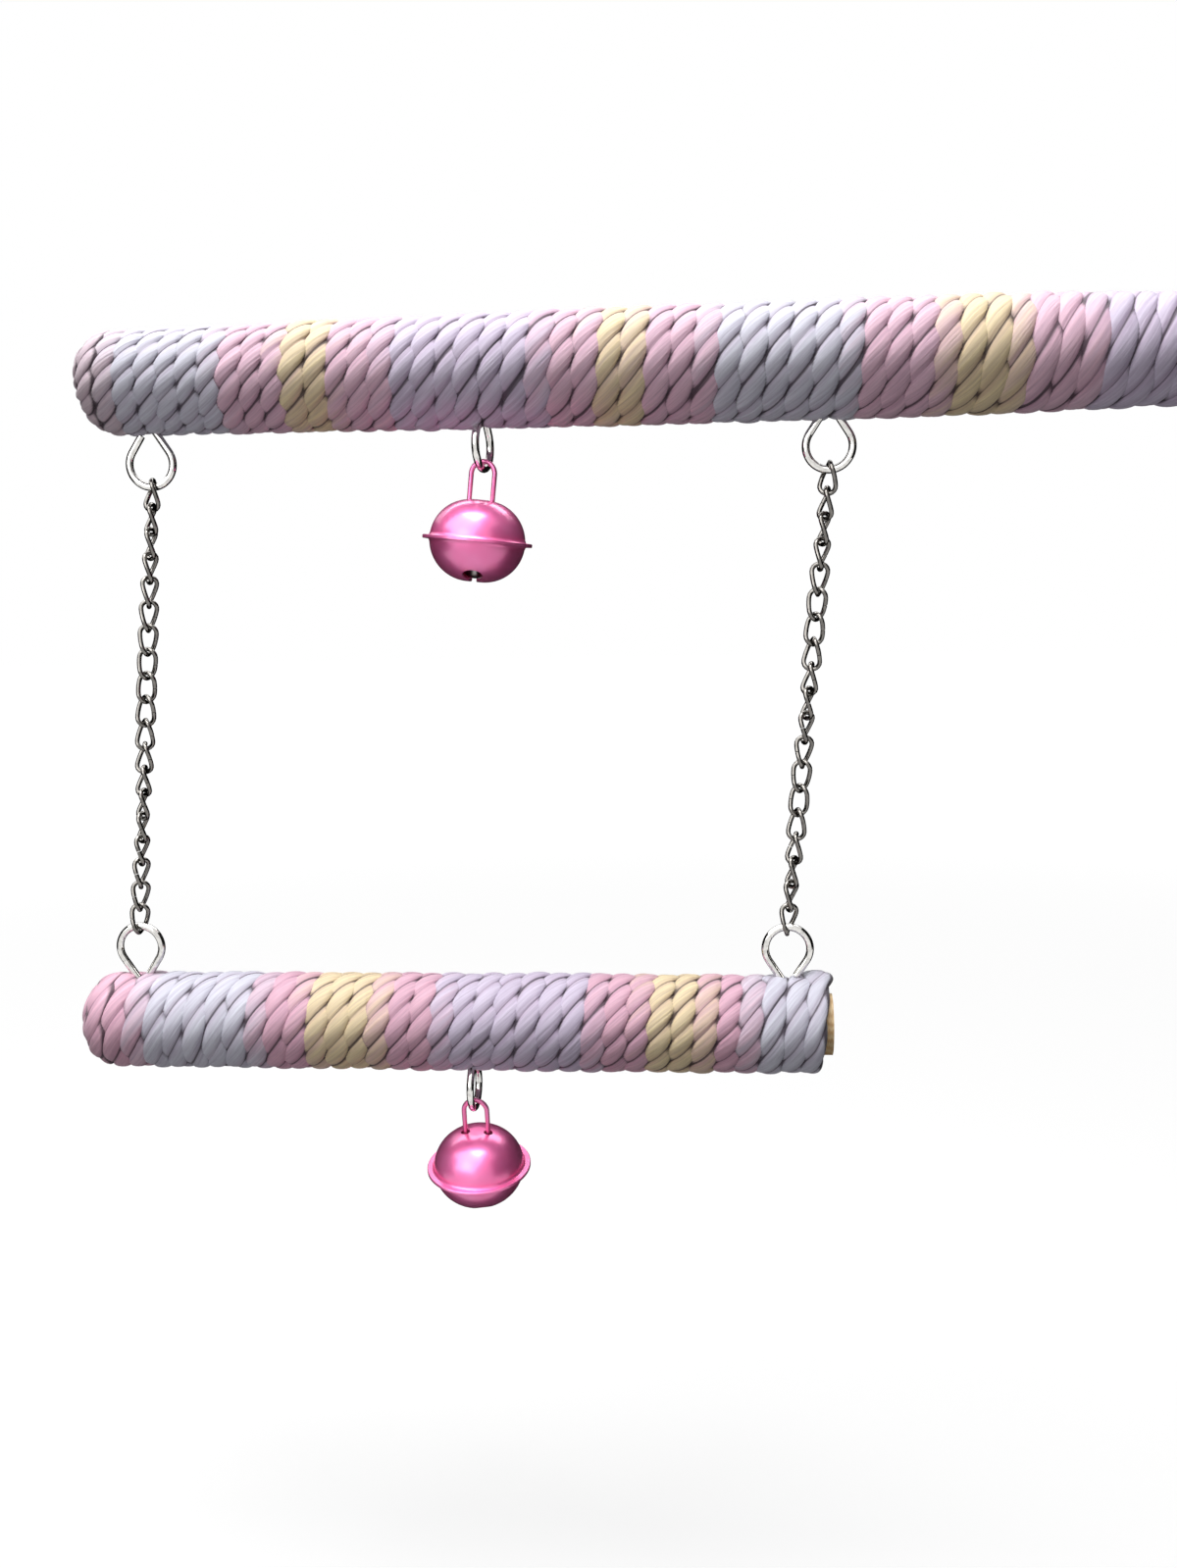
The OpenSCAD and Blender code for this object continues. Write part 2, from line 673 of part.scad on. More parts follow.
upper_dowel();
upper_rope_wrap();
hanger_bolt();
inner_washer();
outer_washer();
wing_nut();
left_upper_eye_screw();
right_upper_eye_screw();
upper_bell_eye_screw();
left_chain_top_link();
left_chain_links();
left_chain_bottom_link();
right_chain_top_link();
right_chain_links();
right_chain_bottom_link();
perch_dowel();
perch_rope_wrap();
left_perch_eye_screw();
right_perch_eye_screw();
lower_bell_eye_screw();
upper_bell_loop();
upper_bell_top_shell();
upper_bell_bottom_shell();
upper_bell_pellet();
lower_bell_loop();
lower_bell_top_shell();
lower_bell_bottom_shell();
lower_bell_pellet();
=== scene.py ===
"""The looks of the bird swing: two rods wound with twisted paper rope, their eye screws and
curb chains, two pink jingle bells and the cage clamp. Sizes of the pieces are written in
millimetres and made into metres where a piece is finished. The stage is written in metres."""

import math

import bmesh
import bpy
import numpy as np
from mathutils import Euler, Matrix, Vector


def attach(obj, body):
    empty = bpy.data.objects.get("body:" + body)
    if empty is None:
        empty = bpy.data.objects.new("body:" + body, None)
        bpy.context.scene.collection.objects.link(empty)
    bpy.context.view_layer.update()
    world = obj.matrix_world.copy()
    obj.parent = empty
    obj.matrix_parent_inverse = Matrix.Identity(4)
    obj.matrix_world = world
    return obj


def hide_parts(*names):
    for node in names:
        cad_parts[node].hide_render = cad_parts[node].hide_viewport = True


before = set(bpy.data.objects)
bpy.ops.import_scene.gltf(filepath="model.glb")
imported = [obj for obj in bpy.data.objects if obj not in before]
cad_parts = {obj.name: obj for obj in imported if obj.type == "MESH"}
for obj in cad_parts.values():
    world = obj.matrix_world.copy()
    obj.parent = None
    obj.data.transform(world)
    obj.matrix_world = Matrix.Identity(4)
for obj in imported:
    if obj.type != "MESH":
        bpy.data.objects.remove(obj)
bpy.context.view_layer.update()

MM = 0.001
FULL = 2 * math.pi


def turned(degrees, axis):
    return Matrix.Rotation(math.radians(degrees), 4, axis)


def moved(x, y, z):
    return Matrix.Translation((x, y, z))


# Rods and eyes, with the sizes of the solids. The origin is on the clamp face
UPPER_WOOD_R = 9.0
PERCH_WOOD_R = 8.0
LEFT_EYE_X = -289.4
EYE_SPACING = 174.3
RIGHT_EYE_X = LEFT_EYE_X + EYE_SPACING
UPPER_BELL_X = LEFT_EYE_X + EYE_SPACING / 2
EYE_R = 5.8
EYE_WIRE = 2.0
UPPER_EYE_DROP = 20.8
PERCH_EYE_RISE = 20.2
UPPER_BELL_EYE_DROP = 18.4
LOWER_BELL_EYE_DROP = 17.9
UPPER_BELL_EYE_TURN = 80
LOWER_BELL_EYE_TURN = 88
LOWER_BELL_SHIFT = 3.4

# Chains: the end links hang in the eyes with a little air
LINKS = 19
LINK_WIRE = 1.2
LINK_R = 2.1
LINK_SIDE = 3.58
LINK_LEN = LINK_SIDE + 2 * LINK_R
LINK_INSIDE = LINK_LEN / 2 - LINK_WIRE / 2
LINK_PITCH = 6.28
CHAIN_LEAN = 5.1
HANG_GAP = 0.25
HANG_SEAT = EYE_WIRE / 2 + HANG_GAP
CHAIN_SPAN = (LINKS - 1) * LINK_PITCH + 2 * (LINK_INSIDE - HANG_SEAT)

# The perch hangs where the leaning chains end
TOP_PIVOT_Z = -UPPER_EYE_DROP - EYE_R
BOTTOM_PIVOT_Z = TOP_PIVOT_Z - CHAIN_SPAN * math.cos(math.radians(CHAIN_LEAN))
PERCH_Z = BOTTOM_PIVOT_Z - EYE_R - PERCH_EYE_RISE
PERCH_LEFT_EYE_X = LEFT_EYE_X - CHAIN_SPAN * math.sin(math.radians(CHAIN_LEAN))
PERCH_RIGHT_EYE_X = PERCH_LEFT_EYE_X + EYE_SPACING
LOWER_BELL_X = PERCH_LEFT_EYE_X + EYE_SPACING / 2 + LOWER_BELL_SHIFT

# Camera
CAMERA_PLACE = (-142.08, -378.44, -55.77)
CAMERA_TURN = (-7.432, 1.074, 5.115)
CAMERA_LENS = 33.79
CAMERA_SENSOR = 36


def set_up_camera():
    data = bpy.data.cameras.new("camera")
    data.lens = CAMERA_LENS
    data.sensor_width = CAMERA_SENSOR
    data.clip_start = 0.01
    data.clip_end = 20
    camera = bpy.data.objects.new("camera", data)
    bpy.context.scene.collection.objects.link(camera)
    aim = Euler([math.radians(a) for a in CAMERA_TURN], "XYZ").to_matrix().to_4x4()
    camera.matrix_world = moved(*(c * MM for c in CAMERA_PLACE)) @ aim @ turned(90, "X")
    bpy.context.scene.camera = camera


# Node trees and finishes
def shade(red, green, blue):
    """A colour as it is seen on a screen, from 0 to 255, made linear."""
    light = [c / 255 for c in (red, green, blue)]
    return (*[c / 12.92 if c <= 0.04045 else ((c + 0.055) / 1.055) ** 2.4 for c in light], 1)


def grey(level):
    return (level, level, level, 1)


class Flow:
    """What comes out of a node. Maths on it adds the nodes that do it."""

    def __init__(self, graph, socket):
        self.graph, self.socket = graph, socket

    def _maths(self, operation, *values, clamp=False):
        inputs = dict(enumerate(values))
        return self.graph.node("ShaderNodeMath", inputs, operation=operation, use_clamp=clamp)

    def __add__(self, other):
        return self._maths("ADD", self, other)

    __radd__ = __add__

    def __mul__(self, other):
        return self._maths("MULTIPLY", self, other)

    __rmul__ = __mul__

    def __sub__(self, other):
        return self._maths("SUBTRACT", self, other)

    def __rsub__(self, other):
        return self._maths("SUBTRACT", other, self)

    def clipped(self):
        """The same number, kept between 0 and 1."""
        return self._maths("ADD", self, 0.0, clamp=True)


class Graph:
    """A node tree and the one way in which nodes are added to it."""

    def __init__(self, owner):
        owner.use_nodes = True
        self.tree = owner.node_tree

    def feed(self, node, inputs):
        """Gives sockets of a node their values or links."""
        for socket, value in inputs.items():
            if isinstance(value, Flow):
                self.tree.links.new(value.socket, node.inputs[socket])
            else:
                node.inputs[socket].default_value = value

    def node(self, kind, inputs=None, out=0, stops=None, **settings):
        """Adds a node: its settings first, then the values or links of its sockets."""
        new = self.tree.nodes.new(kind)
        for setting, value in settings.items():
            setattr(new, setting, value)
        if stops:
            ramp = new.color_ramp.elements
            while len(ramp) > 1:
                ramp.remove(ramp[-1])
            for i, (place, colour) in enumerate(stops):
                element = ramp[0] if i == 0 else ramp.new(place)
                element.position = place
                element.color = colour
        self.feed(new, inputs or {})
        return Flow(self, new.outputs[out])

    def ray(self, kind):
        """1 for rays of this kind and 0 for the others."""
        return self.node("ShaderNodeLightPath", out=f"Is {kind} Ray")


class Finish(Graph):
    """A material, with its shader and the nodes that the finishes share."""

    def __init__(self, name, **constants):
        self.material = bpy.data.materials.new(name)
        super().__init__(self.material)
        self.shader = self.tree.nodes["Principled BSDF"]
        self.use(**constants)

    def use(self, **inputs):
        """Feeds the shader. A socket's name has _ for each space."""
        self.feed(self.shader, {socket.replace("_", " "): value for socket, value in inputs.items()})

    def mix(self, factor, first, second, kind="MIX"):
        """Two colours mixed by a factor."""
        inputs = {0: factor, 6: first, 7: second}
        return self.node("ShaderNodeMix", inputs, out=2, data_type="RGBA", blend_type=kind)

    def noise(self, place, scale, detail, rough=0.55):
        inputs = {"Vector": place, "Scale": scale, "Detail": detail, "Roughness": rough}
        return self.node("ShaderNodeTexNoise", inputs)

    def stretched(self, place, scale):
        """A place in space with each direction scaled by itself."""
        return self.node("ShaderNodeMapping", {"Vector": place, "Scale": scale}, vector_type="POINT")

    def on_object(self):
        return self.node("ShaderNodeTexCoord", out="Object")

    def attribute(self, name):
        return self.node("ShaderNodeAttribute", out="Vector", attribute_name=name)

    def split(self, vector, part):
        return self.node("ShaderNodeSeparateXYZ", {0: vector}, out=part)

    def band(self, value, low, high):
        """A number that runs from 0 at low to 1 at high."""
        inputs = {"Value": value, "From Min": low, "From Max": high}
        return self.node("ShaderNodeMapRange", inputs, clamp=True)

    def relief(self, height, strength, depth_mm):
        inputs = {"Height": height, "Strength": strength, "Distance": depth_mm * MM}
        self.use(Normal=self.node("ShaderNodeBump", inputs, out="Normal"))


PINK = shade(238, 188, 207)
PALE_PINK = shade(242, 201, 218)
YELLOW = shade(250, 230, 184)
BLUE_GREY = shade(222, 223, 235)
LAVENDER = shade(222, 211, 232)
DUSTY_PINK = shade(224, 204, 212)
# What the dye is multiplied by: painted shade on the flanks beside a ply's crest, painted shade down in a
# crease, and a darker tone in a wrinkle
FLANK_PAINTED_SHADE = shade(238, 231, 236)
CREASE_PAINTED_SHADE = shade(96, 86, 94)
WRINKLE_TINT = shade(214, 208, 216)

# Each stretch of dyed rope: where it ends on the rod, from the left, and its colour
UPPER_DYES = [
    (-294.4, DUSTY_PINK), (-266.4, BLUE_GREY), (-250.4, PALE_PINK), (-238.9, YELLOW), (-223.9, PALE_PINK),
    (-185.9, LAVENDER), (-171.9, PALE_PINK), (-160.9, YELLOW), (-144.2, PALE_PINK), (-109.0, BLUE_GREY),
    (-87.8, PALE_PINK), (-70.4, YELLOW), (-52.4, PALE_PINK), (0.0, LAVENDER),
]
PERCH_DYES = [
    (-297.9, PINK), (-265.4, BLUE_GREY), (-251.4, PINK), (-232.4, YELLOW), (-217.4, PINK),
    (-176.8, LAVENDER), (-162.4, PINK), (-146.9, YELLOW), (-135.4, PINK), (-114.0, BLUE_GREY),
]
UPPER_DYE_START = -307.0
PERCH_DYE_START = -316.0
DYE_BLUR = 2.6
DYE_WANDER = 7.0


def dye_stops(dyes, start):
    """The stops of a ramp over the stretches, each blurred into the next."""
    stops, low = [], start
    span = dyes[-1][0] - start
    for high, colour in dyes:
        stops.append(((low + DYE_BLUR - start) / span, colour))
        stops.append(((high - DYE_BLUR - start) / span, colour))
        low = high
    stops[0] = (0.0, stops[0][1])
    stops[-1] = (1.0, stops[-1][1])
    return stops


def dyed_paper(name, dyes, start):
    """Twisted kraft paper, dyed in stretches: soft wrinkles run along each ply. Painted shade darkens the
    dye down in the creases and on the flanks beside each ply's crest."""
    finish = Finish(name, Roughness=0.62, IOR=1.42, Sheen_Weight=0.25, Sheen_Roughness=0.4)
    ply = finish.attribute("straight_ply")
    lay = finish.attribute("dye_and_depth")
    fibres = finish.noise(finish.stretched(ply, (1.6, 1.6, 0.10)), scale=1.0, detail=4.0, rough=0.6)
    blotch = finish.noise(finish.stretched(ply, (0.35, 0.35, 0.08)), scale=1.0, detail=2.0)
    place = finish.split(lay, 0) + (blotch - 0.5) * DYE_WANDER
    depth = finish.split(lay, 1)
    along_rod = finish.band(place, start, dyes[-1][0])
    dye = finish.node("ShaderNodeValToRGB", {0: along_rod}, stops=dye_stops(dyes, start))
    # Painted shade: the dye is darker on the flanks away from each ply's crest, so the crest reads as lit
    flank_in_shade = finish.mix(1.0, dye, FLANK_PAINTED_SHADE, "MULTIPLY")
    crease_in_shade = finish.mix(1.0, dye, CREASE_PAINTED_SHADE, "MULTIPLY")
    side = finish.split(ply, 0)
    shaded_dye = finish.mix(finish.band(side, 1.5, 0.5), dye, flank_in_shade)
    # Painted shade in the creases: darkest where the plies meet and deep down between the turns
    crease_shade_mask = finish.band(side, 0.42, 0.06) + finish.band(depth, 0.66, 1.10)
    shaded_dye = finish.mix(crease_shade_mask.clipped(), shaded_dye, crease_in_shade)
    wrinkled = finish.mix(1.0, shaded_dye, WRINKLE_TINT, "MULTIPLY")
    finish.use(Base_Color=finish.mix(finish.band(fibres, 0.30, 0.72), wrinkled, shaded_dye))
    finish.relief(fibres, strength=0.55, depth_mm=0.5)
    return finish.material


def bright_wire(name, tint, rough):
    """Nickel plating on drawn wire, with faint draw marks and small worn spots."""
    finish = Finish(name, Metallic=1.0)
    place = finish.on_object()
    worn = finish.band(finish.noise(place, scale=900.0, detail=3.0), 0.42, 0.70)
    worn_tint = tuple(c * 0.72 for c in tint[:3]) + (1,)
    finish.use(Base_Color=finish.mix(worn, tint, worn_tint), Roughness=worn * 0.14 + rough)
    finish.relief(finish.noise(place, scale=1600.0, detail=2.0), strength=0.08, depth_mm=0.05)
    return finish.material


def zinc_plate(name):
    """Zinc plating, clouded and lightly grained."""
    finish = Finish(name, Metallic=1.0)
    place = finish.on_object()
    cloud = finish.noise(place, scale=260.0, detail=4.0)
    tint = finish.mix(finish.band(cloud, 0.3, 0.7), shade(196, 200, 206), shade(222, 222, 216))
    finish.use(Base_Color=tint, Roughness=cloud * 0.22 + 0.22)
    finish.relief(finish.noise(place, scale=1200.0, detail=3.0), strength=0.10, depth_mm=0.05)
    return finish.material


def pink_enamel(name, first, second):
    """Stoved enamel on pressed steel: an even gloss, two close pinks and a little orange peel."""
    finish = Finish(name, IOR=1.5, Metallic=0.5, Coat_Roughness=0.14, Coat_IOR=1.5)
    place = finish.on_object()
    cloud = finish.noise(place, scale=120.0, detail=2.0)
    finish.use(
        Base_Color=finish.mix(finish.band(cloud, 0.3, 0.7), first, second),
        Roughness=cloud * 0.08 + 0.32,
        Coat_Weight=cloud * 0.2 + 0.7,
    )
    finish.relief(finish.noise(place, scale=700.0, detail=2.0), strength=0.06, depth_mm=0.10)
    return finish.material


def turned_wood(name):
    """Pale hardwood dowel: grain lines along the rod and rings on its sawn end."""
    finish = Finish(name, Roughness=0.6)
    place = finish.on_object()
    wobble = finish.noise(finish.stretched(place, (30, 220, 220)), scale=1.0, detail=3.0)
    centred = finish.stretched(place, (8, 1, 1))
    inputs = {"Vector": centred, "Scale": 140.0, "Distortion": 5.0, "Detail": 3.0, "Detail Scale": 2.0}
    rings = finish.node("ShaderNodeTexWave", inputs, wave_type="RINGS", rings_direction="X")
    grain = finish.band(rings * 0.6 + wobble * 0.5, 0.2, 0.9)
    finish.use(Base_Color=finish.mix(grain, shade(238, 208, 158), shade(206, 162, 110)))
    finish.relief(grain, strength=0.2, depth_mm=0.15)
    return finish.material


UPPER_PAPER = dyed_paper("upper_rod_paper_rope", UPPER_DYES, UPPER_DYE_START)
PERCH_PAPER = dyed_paper("perch_paper_rope", PERCH_DYES, PERCH_DYE_START)
EYE_NICKEL = bright_wire("eye_screw_nickel", shade(228, 226, 222), 0.05)
LINK_NICKEL = bright_wire("chain_link_nickel", shade(124, 121, 117), 0.07)
ZINC = zinc_plate("clamp_zinc")
ENAMEL = pink_enamel("bell_pink_enamel", shade(253, 112, 178), shade(255, 130, 192))
WOOD = turned_wood("dowel_wood")
PELLET_STEEL = bright_wire("pellet_steel", shade(150, 148, 146), 0.3)


# Shapes that the sections share. Points that are nearer than MEETING are one
MEETING = 0.001
WIRE_BEVEL = 4


def as_mesh(shape, name):
    """A mesh with the bmesh's shape. The bmesh is freed."""
    mesh = bpy.data.meshes.new(name)
    shape.to_mesh(mesh)
    shape.free()
    return mesh


def joined(shape, part):
    """Adds a part to a bmesh, as a shape of its own inside it."""
    mesh = as_mesh(part, "part")
    shape.from_mesh(mesh)
    bpy.data.meshes.remove(mesh)


def sealed(shape):
    """Joins the points that meet, fills open ends and turns the faces outwards."""
    bmesh.ops.remove_doubles(shape, verts=shape.verts, dist=MEETING)
    open_ends = [edge for edge in shape.edges if edge.is_boundary]
    bmesh.ops.holes_fill(shape, edges=open_ends, sides=0)
    bmesh.ops.recalc_face_normals(shape, faces=shape.faces)
    return shape


def bow(centre, radius, start, end, count):
    """Points on an arc in the XZ plane."""
    steps = [math.radians(start + (end - start) * i / count) for i in range(count + 1)]
    return [(centre[0] + radius * math.cos(a), 0, centre[1] + radius * math.sin(a)) for a in steps]


def spun(points, axis, steps, ring=False):
    """A solid from its outline in the XZ plane, spun about an axis through the origin. The
    outline of a ring is closed, and any other starts and ends on the axis."""
    shape = bmesh.new()
    spots = [shape.verts.new(point) for point in points]
    ends = spots[1:] + spots[:1] if ring else spots[1:]
    edges = [shape.edges.new(pair) for pair in zip(spots, ends)]
    bmesh.ops.spin(
        shape, geom=spots + edges, cent=(0, 0, 0), axis=axis, angle=FULL, steps=steps, use_merge=True
    )
    return sealed(shape)


# Finishing a piece
def enlist(made, body, node):
    """The finished object joins the scene, rides on its body and stands for its node."""
    bpy.context.scene.collection.objects.link(made)
    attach(made, body)
    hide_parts(node)


def piece(name, mesh, material, body, node, sharp=None):
    """A mesh in millimetres becomes a piece in metres. Edges sharper than an angle, where one is
    given, stay sharp."""
    mesh.name = name
    mesh.transform(Matrix.Scale(MM, 4))
    mesh.shade_smooth()
    if sharp:
        mesh.set_sharp_from_angle(angle=math.radians(sharp))
    mesh.materials.clear()
    mesh.materials.append(material)
    enlist(bpy.data.objects.new(name, mesh), body, node)


def wire(name, lines, wire_d, place, material, body, node):
    """Round wire along one or more lines, cut square at its ends. A line is a list of points,
    each with its share of the wire's thickness."""
    curve = bpy.data.curves.new(name, "CURVE")
    curve.dimensions = "3D"
    curve.bevel_depth = wire_d / 2 * MM
    curve.bevel_resolution = WIRE_BEVEL
    curve.use_fill_caps = True
    for line in lines:
        spline = curve.splines.new("POLY")
        spline.points.add(len(line) - 1)
        for point, (spot, thickness) in zip(spline.points, line):
            x, y, z = place @ Vector(spot)
            point.co = (x * MM, y * MM, z * MM, 1)
            point.radius = thickness
        spline.use_smooth = True
    curve.materials.append(material)
    enlist(bpy.data.objects.new(name, curve), body, node)


# Twisted paper rope
ROPE_R = 2.7
PLIES = 3
PLY_R = 0.66 * ROPE_R
PLY_OFF = 0.34 * ROPE_R
PLY_SIDES = 18
RINGS_A_TURN = 80
CAP_BEND_R = 7.5
TURN_IN_PITCH = 5.3
LAY_KNOTS = 800
# The rope's section, pressed flat: its half height, the height that pressing keeps it under, how
# sharply it does, and how far a bulge reaches sideways for each half pitch
PRESSED_R = 0.911 * ROPE_R
PRESS_LIMIT = 1.05 * ROPE_R
PRESS_POWER = 6
SIDE_REACH = 1.55
# The outer side of the first turn has no neighbour. It is round at first and widens between these
OPEN_TURNS = (0.4, 1.2)
# How the winding wanders: a new aim every so many turns, and how far off it is
LAY_DRIFT = (0.55, 0.16)
PLY_LAY_DRIFT = (0.4, 0.10)
PLY_SWELL = (0.16, 0.035)
SIDE_DRIFT = (0.45, 0.14)
RISE_DRIFT = (0.35, 0.13)
# The lifted cut end: the turns that its lift dies away in, and how it spreads sideways
LIFT_TURNS = 0.035
SPREAD = 0.30
SPREAD_FROM = 0.6
# An eye screw pushes the rope aside, over an angle round the rod and a way along it
ASIDE = 0.95
ASIDE_ANGLE = 0.24
ASIDE_REACH = 2.9
ASIDE_FADE = 5
# The rope stays off the wood and, past the wood's end, off the middle of its coil
OFF_WOOD = 0.03
OFF_MIDDLE = 0.4
END_DEPTH = 3
MAX_CREASE = 3
# Each ply has wrinkles of its own, so its straight length starts this far past the one before
PLY_APART = 500

# Both ropes. "laid" has turns counted from where the rope starts, and the place on the rod that
# each has reached, as far as the turn-in. "outside" is the radius over the rope at places on the
# rod, and "bulges" counts the bulges of the plies that pass on each turn there
UPPER_ROPE = {
    "name": "upper_rope", "body": "upper_rod", "node": "upper_rope_wrap", "paper": UPPER_PAPER,
    "wood_r": UPPER_WOOD_R, "z": 0.0, "start_angle": 270.0, "turns": 54.15, "seed": 11, "lift": 0.0,
    "laid": [
        (0, -4.25), (19.5, RIGHT_EYE_X), (34.5, UPPER_BELL_X), (50.5, LEFT_EYE_X), (51.9, -296.75),
    ],
    "end_x": -304.4,
    "outside": [
        (-300, 13.3), (-284, 13.5), (-243, 14.0), (-212, 14.3), (-163, 14.65), (-114, 14.65), (-76, 14.5),
        (-39, 13.7), (0, 13.6),
    ],
    "bulges": [
        (-300, 13), (-275, 13), (-270, 12), (-242, 12), (-237, 11), (-217, 11), (-213, 10), (-90, 10),
        (-80, 8), (-62, 6.4), (-50, 6), (0, 6),
    ],
    "eyes": [(LEFT_EYE_X, 270), (UPPER_BELL_X, 270), (RIGHT_EYE_X, 270)],
}
PERCH_ROPE = {
    "name": "perch_rope", "body": "perch", "node": "perch_rope_wrap", "paper": PERCH_PAPER,
    "wood_r": PERCH_WOOD_R, "z": PERCH_Z, "start_angle": 100.0, "turns": 35.75, "seed": 37, "lift": 1.2,
    "laid": [
        (0, -117.26), (1.528, PERCH_RIGHT_EYE_X), (16.028, LOWER_BELL_X), (32.528, PERCH_LEFT_EYE_X),
        (33.6, -305.66),
    ],
    "end_x": -313.3,
    "outside": [(-316, 12.9), (-250, 13.1), (-180, 13.1), (-114, 12.9)],
    "bulges": [
        (-316, 6.5), (-280, 6.5), (-270, 7), (-255, 9), (-245, 10), (-205, 10), (-195, 9), (-180, 9),
        (-165, 11), (-140, 11), (-130, 7), (-114, 7),
    ],
    "eyes": [(PERCH_LEFT_EYE_X, 90), (PERCH_RIGHT_EYE_X, 90), (LOWER_BELL_X, 270)],
}


def drift(turn, wander, seed):
    """A smooth random wander along the winding."""
    every, amount = wander
    aims = np.random.default_rng(seed).normal(0, amount, int(turn.max() / every) + 3)
    spot = turn / every
    low = spot.astype(int)
    share = spot - low
    share = share * share * (3 - 2 * share)
    return aims[low] * (1 - share) + aims[low + 1] * share


def between(places, x):
    """The value at x, from the values at the places on each side of it."""
    at, value = np.array(places).T
    return np.interp(x, at, value)


def straight_ply(rings):
    """One ply of the rope, laid out straight along Z: a grid rolled into a round bar that lies
    beside the rope's middle, and closed at both ends."""
    ply = bmesh.new()
    bmesh.ops.create_grid(ply, x_segments=PLY_SIDES, y_segments=rings, size=1)
    for spot in ply.verts:
        turn = (spot.co.x + 1) / 2 * FULL
        ring = round((spot.co.y + 1) / 2 * rings)
        spot.co = (PLY_OFF + PLY_R * math.cos(turn), PLY_R * math.sin(turn), ring)
    return sealed(ply)


def reached(rope, turn):
    """How far along its line the rope has come. The turn-in is wound at an even pitch."""
    turns, places = np.array(rope["laid"]).T
    turn_in = places[0] - places[-1] + (turn - turns[-1]) * TURN_IN_PITCH
    return np.where(turn < turns[-1], np.interp(turn, turns, places[0] - places), turn_in)


def outline(rope, run, wind_r):
    """The line that the rope's middle follows: along the rod, round its closed end and in."""
    first_x, turn_in_x = rope["laid"][0][1], rope["laid"][-1][1]
    arc = CAP_BEND_R * math.pi / 2
    straight = first_x - turn_in_x
    lean = np.clip((run - straight) / arc, 0, 1) * math.pi / 2
    inward = np.maximum(run - straight - arc, 0)
    x = np.where(run < straight, first_x - run, turn_in_x - CAP_BEND_R * np.sin(lean))
    r = wind_r - CAP_BEND_R * (1 - np.cos(lean)) - inward
    return x, r, lean


def lay(rope, turn):
    """How far the three plies have turned round each other."""
    knots = np.linspace(0, rope["turns"], LAY_KNOTS)
    knot_x = rope["laid"][0][1] - reached(rope, knots)
    rate = between(rope["bulges"], knot_x) / PLIES * FULL
    twist = np.concatenate([[0], np.cumsum((rate[1:] + rate[:-1]) / 2 * np.diff(knots))])
    return np.interp(turn, knots, twist)


def pressed_section(rope, across, up, turn, number):
    """Where a ply's surface is, along the rod and away from it, as seen from the rope's middle.
    Each bulge reaches into the hollow of the turn beside it, and the outside is pressed flat."""
    seed = rope["seed"]
    phase = lay(rope, turn) + drift(turn, LAY_DRIFT, seed) + number * FULL / PLIES
    phase = phase + drift(turn, PLY_LAY_DRIFT, seed + 50 + number)
    swell = 1 + drift(turn, PLY_SWELL, seed + 70 + number)
    side = (across - PLY_OFF) * swell + PLY_OFF
    rise = up * swell
    along = side * np.cos(phase) - rise * np.sin(phase)
    away = side * np.sin(phase) + rise * np.cos(phase)
    turns, places = np.array(rope["laid"]).T
    pitch = np.interp(turn, turns[1:], -np.diff(places) / np.diff(turns))
    along = along * (SIDE_REACH * pitch / 2 / ROPE_R)
    away = away / (1 + np.abs(away / PRESS_LIMIT) ** PRESS_POWER) ** (1 / PRESS_POWER)
    round_still = np.interp(turn, OPEN_TURNS, (1, 0))
    along = np.where(along > 0, along * (1 - round_still * (1 - 1 / SIDE_REACH)), along)
    return along, away


